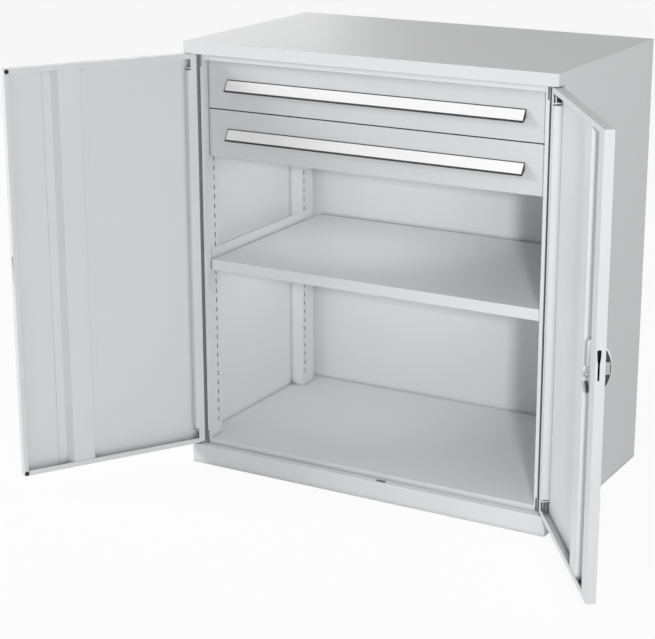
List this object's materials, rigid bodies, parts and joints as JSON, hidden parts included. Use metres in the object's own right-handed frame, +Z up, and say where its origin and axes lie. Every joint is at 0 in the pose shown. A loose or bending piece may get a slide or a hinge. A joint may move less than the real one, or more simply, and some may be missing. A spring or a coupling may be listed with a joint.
{
  "type": "tool cabinet with swing doors",
  "caption": "Steel tool cabinet with swing doors on pivot hinges, a three-point rod lock, full-width drawers on telescopic runners and a height-adjustable shelf in slotted posts.",
  "frame": {"origin": "on the floor, at the middle of the flange on which the front of the plinth stands", "axes": "+Z up, +Y from the doors to the back, +X to the right of someone facing the doors"},
  "size_m": [1.5329, 1.0041, 1.11],
  "materials": {
    "light_grey_coat": "fine satin powder coat, light grey",
    "zinc_plate": "bright zinc plate, satin",
    "black_profile": "extruded, satin black",
    "white_strip": "smooth white insert strip",
    "pin_steel": "turned, lightly oiled",
    "nylon": "moulded, matt black",
    "buffer_rubber": "soft black rubber",
    "die_cast": "satin chromed zinc die casting",
    "dark_plastic": "fine-grained dark grey moulding"
  },
  "bodies": {
    "cabinet": {"side_panel_left": "light_grey_coat", "side_panel_right": "light_grey_coat", "top_panel": "light_grey_coat", "plinth": "light_grey_coat", "floor_panel": "light_grey_coat", "rear_panel": "light_grey_coat", "front_post_left": "light_grey_coat", "front_post_right": "light_grey_coat", "rear_post_left": "light_grey_coat", "rear_post_right": "light_grey_coat", "upper_hinge_bushes": "nylon", "lower_hinge_bushes": "nylon", "shelf": "light_grey_coat", "shelf_carrier_left": "light_grey_coat", "shelf_carrier_right": "light_grey_coat", "runner_outer_upper_left": "zinc_plate", "runner_outer_upper_right": "zinc_plate", "runner_outer_lower_left": "zinc_plate", "runner_outer_lower_right": "zinc_plate"},
    "door_left": {"door_pan_left": "light_grey_coat", "door_stiffener_left": "light_grey_coat", "hinge_brackets_left": "light_grey_coat", "hinge_pins_left": "pin_steel", "door_buffers": "buffer_rubber"},
    "door_right": {"door_pan_right": "light_grey_coat", "door_stiffener_right": "light_grey_coat", "hinge_brackets_right": "light_grey_coat", "hinge_pins_right": "pin_steel", "lock_case": "zinc_plate", "handle_rose": "die_cast", "rod_guides": "nylon"},
    "handle": {"turn_handle": "dark_plastic", "handle_cover": "die_cast", "handle_boss": "die_cast", "lock_spindle": "zinc_plate", "lock_pinion": "zinc_plate", "lock_bolt": "zinc_plate"},
    "key_plug": {"lock_plug": "die_cast"},
    "rod_up": {"upper_rod": "zinc_plate"},
    "rod_down": {"lower_rod": "zinc_plate"},
    "drawer_upper": {"drawer_front_upper": "light_grey_coat", "drawer_tray_upper": "light_grey_coat", "handle_rail_upper": "black_profile", "label_strip_upper": "white_strip", "handle_caps_upper": "black_profile", "runner_inner_upper_left": "zinc_plate", "runner_inner_upper_right": "zinc_plate"},
    "slide_upper": {"runner_middle_upper_left": "zinc_plate", "runner_middle_upper_right": "zinc_plate"},
    "drawer_lower": {"drawer_front_lower": "light_grey_coat", "drawer_tray_lower": "light_grey_coat", "handle_rail_lower": "black_profile", "label_strip_lower": "white_strip", "handle_caps_lower": "black_profile", "runner_inner_lower_left": "zinc_plate", "runner_inner_lower_right": "zinc_plate"},
    "slide_lower": {"runner_middle_lower_left": "zinc_plate", "runner_middle_lower_right": "zinc_plate"}
  },
  "joints": [
    {"name": "door_left_swing", "type": "hinge", "parent": "cabinet", "child": "door_left", "pos_m": [-0.488, 0.0045, 0.565], "axis": [0, 0, -1], "range_deg": [-121.5, 3.5]},
    {"name": "door_right_swing", "type": "hinge", "parent": "cabinet", "child": "door_right", "pos_m": [0.488, 0.0045, 0.565], "axis": [0, 0, 1], "range_deg": [-125, 0]},
    {"name": "handle_turn", "type": "hinge", "parent": "door_right", "child": "handle", "pos_m": [0.74869, -0.34253, 0.567], "axis": [-0.8192, -0.5736, 0], "range_deg": [-90, 0]},
    {"name": "key_turn", "type": "hinge", "parent": "handle", "child": "key_plug", "pos_m": [0.74869, -0.34253, 0.567], "axis": [-0.8192, -0.5736, 0], "range_deg": [0, 90]},
    {"name": "upper_rod_slide", "type": "slide", "parent": "door_right", "child": "rod_up", "axis": [0, 0, 1], "range_m": [0, 0.0165]},
    {"name": "lower_rod_slide", "type": "slide", "parent": "door_right", "child": "rod_down", "axis": [0, 0, -1], "range_m": [0, 0.0165]},
    {"name": "drawer_upper_slide", "type": "slide", "parent": "cabinet", "child": "drawer_upper", "axis": [0, -1, 0], "range_m": [0, 0.45]},
    {"name": "runner_upper_slide", "type": "slide", "parent": "cabinet", "child": "slide_upper", "axis": [0, -1, 0], "range_m": [0, 0.225]},
    {"name": "drawer_lower_slide", "type": "slide", "parent": "cabinet", "child": "drawer_lower", "axis": [0, -1, 0], "range_m": [0, 0.45]},
    {"name": "runner_lower_slide", "type": "slide", "parent": "cabinet", "child": "slide_lower", "axis": [0, -1, 0], "range_m": [0, 0.225]}
  ],
  "couplings": [
    {"joint": "upper_rod_slide", "follows": "handle_turn", "m_per_rad": -0.0105},
    {"joint": "lower_rod_slide", "follows": "handle_turn", "m_per_rad": -0.0105},
    {"joint": "runner_upper_slide", "follows": "drawer_upper_slide", "ratio": 0.5},
    {"joint": "runner_lower_slide", "follows": "drawer_lower_slide", "ratio": 0.5}
  ]
}
